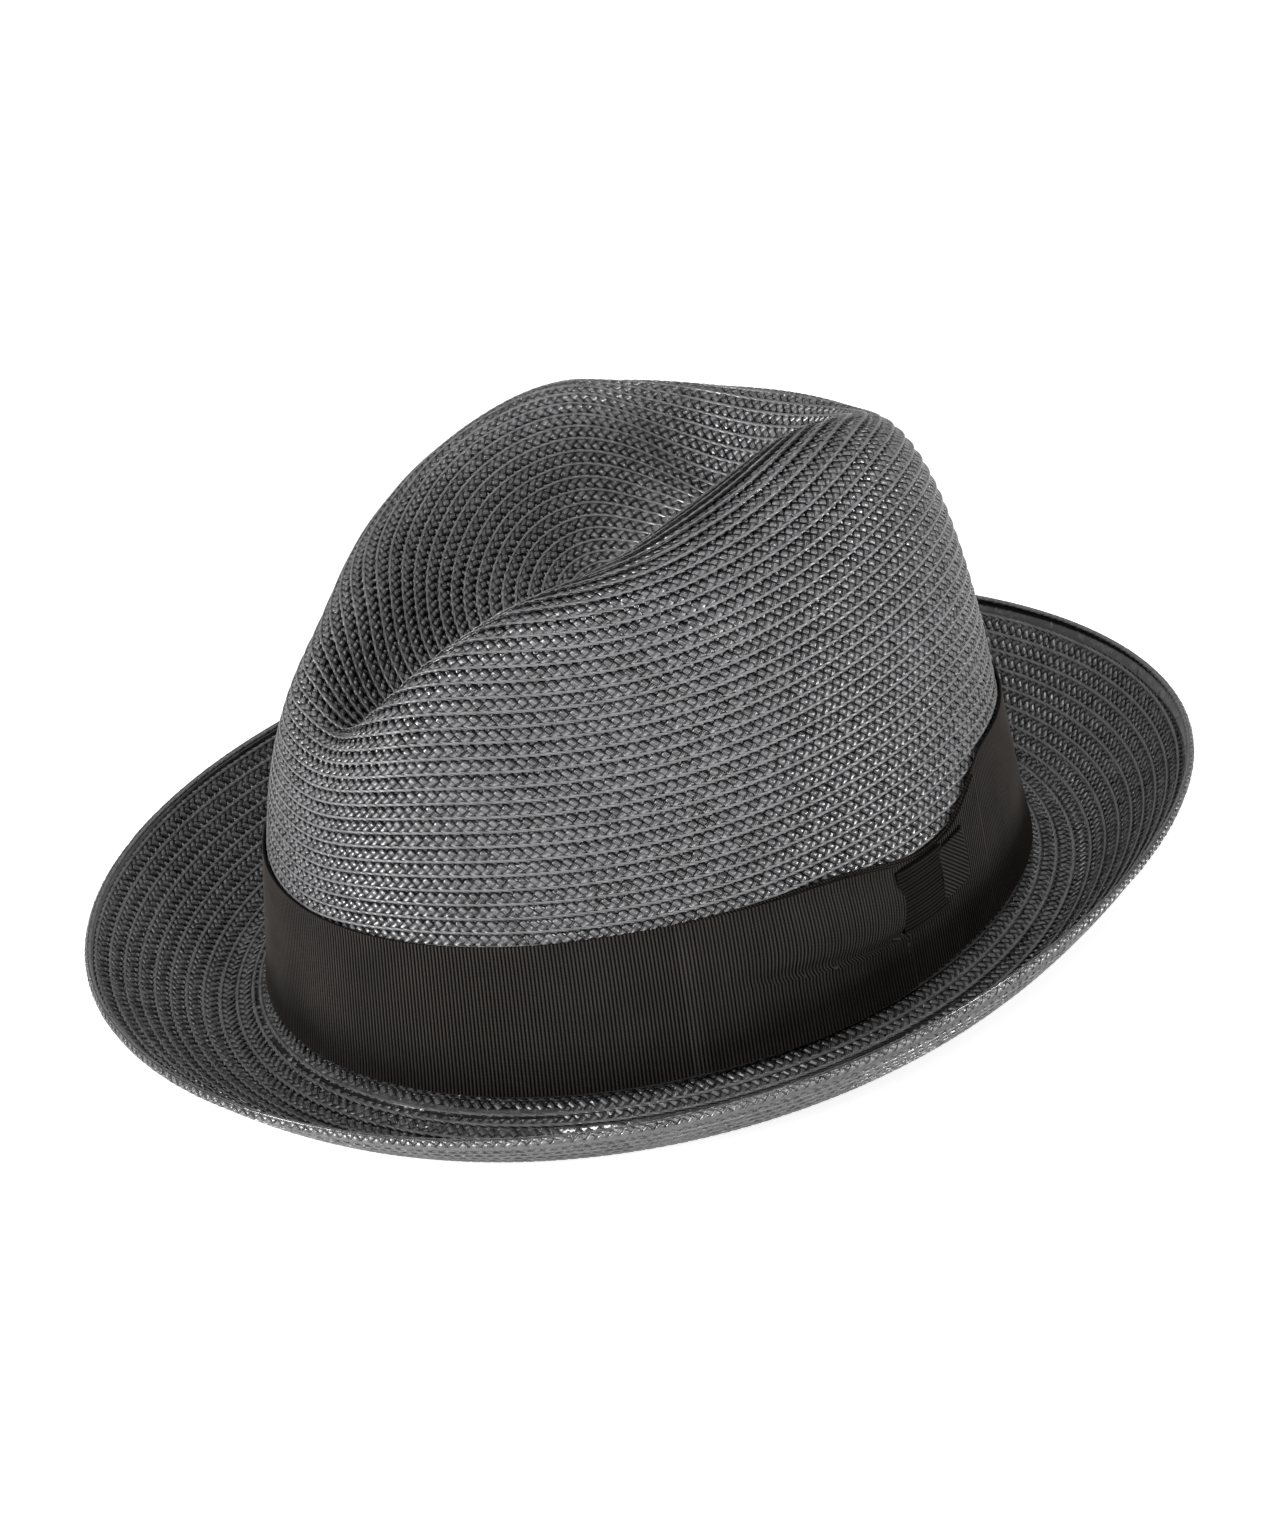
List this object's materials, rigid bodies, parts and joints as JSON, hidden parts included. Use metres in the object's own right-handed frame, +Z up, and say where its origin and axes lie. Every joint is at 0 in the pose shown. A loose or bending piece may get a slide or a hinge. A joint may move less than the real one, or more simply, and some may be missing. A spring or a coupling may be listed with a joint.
{
  "type": "fedora hat",
  "caption": "Fedora hat of spiral-sewn plaited braid with a centre-dent crown, a curled brim, a ribbed ribbon band with a flat side bow, and an inner sweatband on a reed.",
  "frame": {"origin": "on the surface that the brim rests on, at the bottom centre of the hat's bounding box", "axes": "+Z up through the crown, -Y out of the front of the hat, +X out of the wearer's left side, which carries the bow"},
  "size_m": [0.2514, 0.3016, 0.1334],
  "materials": {
    "braid": "charcoal plaited braid with a satin sheen",
    "ribbon": "black ribbed grosgrain, dull with a faint sheen along the ribs",
    "lining": "black woven cotton tape, matte",
    "reed": "translucent nylon, satin",
    "thread": "black polyester sewing thread"
  },
  "bodies": {
    "root": {"crown": "braid", "brim": "braid", "brim_edge": "braid", "hat_band": "ribbon", "band_overlap": "ribbon", "bow_front_loop": "ribbon", "bow_rear_loop": "ribbon", "bow_knot": "ribbon", "sweatband": "lining", "sweatband_reed": "reed", "reed_stitching": "thread", "sweatband_joint": "lining"}
  },
  "joints": []
}
